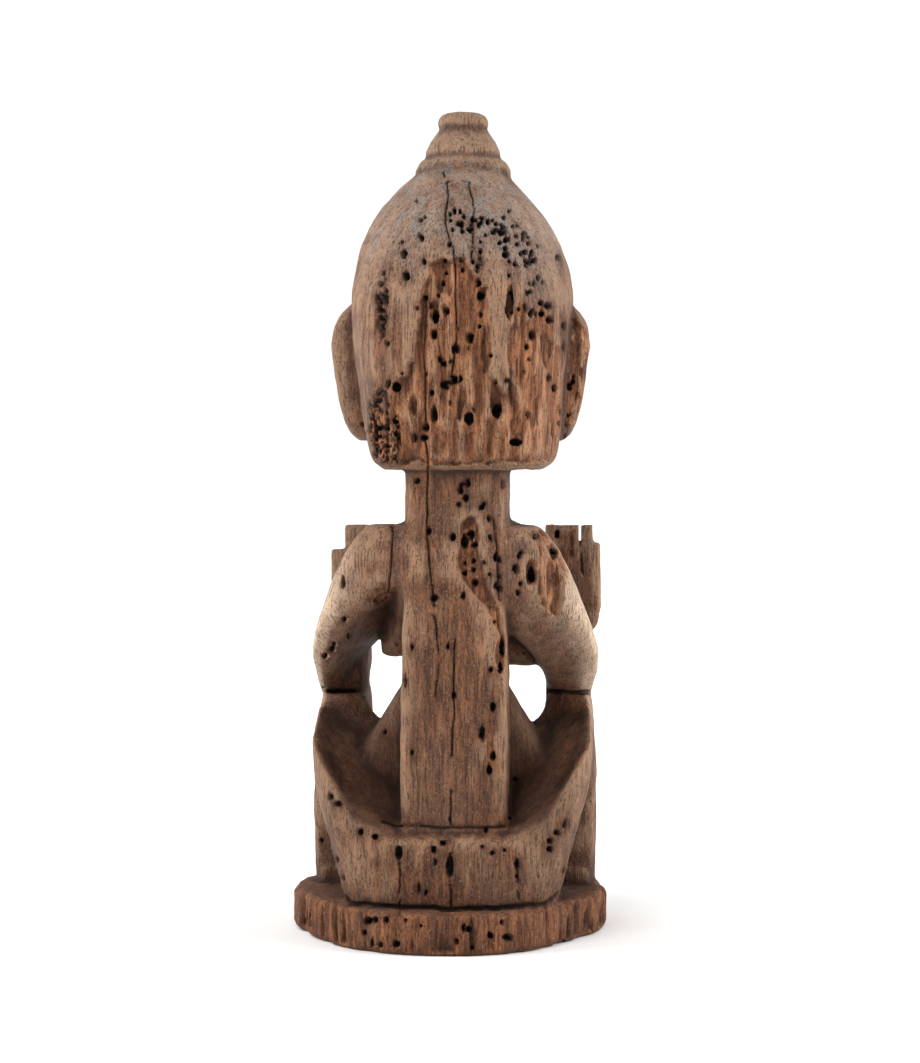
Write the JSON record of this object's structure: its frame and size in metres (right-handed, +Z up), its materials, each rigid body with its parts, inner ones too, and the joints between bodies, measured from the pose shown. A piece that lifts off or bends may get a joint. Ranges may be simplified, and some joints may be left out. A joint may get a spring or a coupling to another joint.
{
  "type": "ancestor statue",
  "caption": "Carved wooden ancestor figure squatting on its own round foot, elbows on knees, hands raised, with a topknot.",
  "frame": {"origin": "middle of the round foot's flat underside", "axes": "+Z up, the figure faces -Y and +X is its left side"},
  "size_m": [0.115, 0.115, 0.3],
  "materials": {
    "weathered_wood": "dry weathered hardwood with grey-brown patina, beetle holes and drying cracks"
  },
  "bodies": {
    "root": {"ancestor_statue": "weathered_wood"}
  },
  "joints": []
}
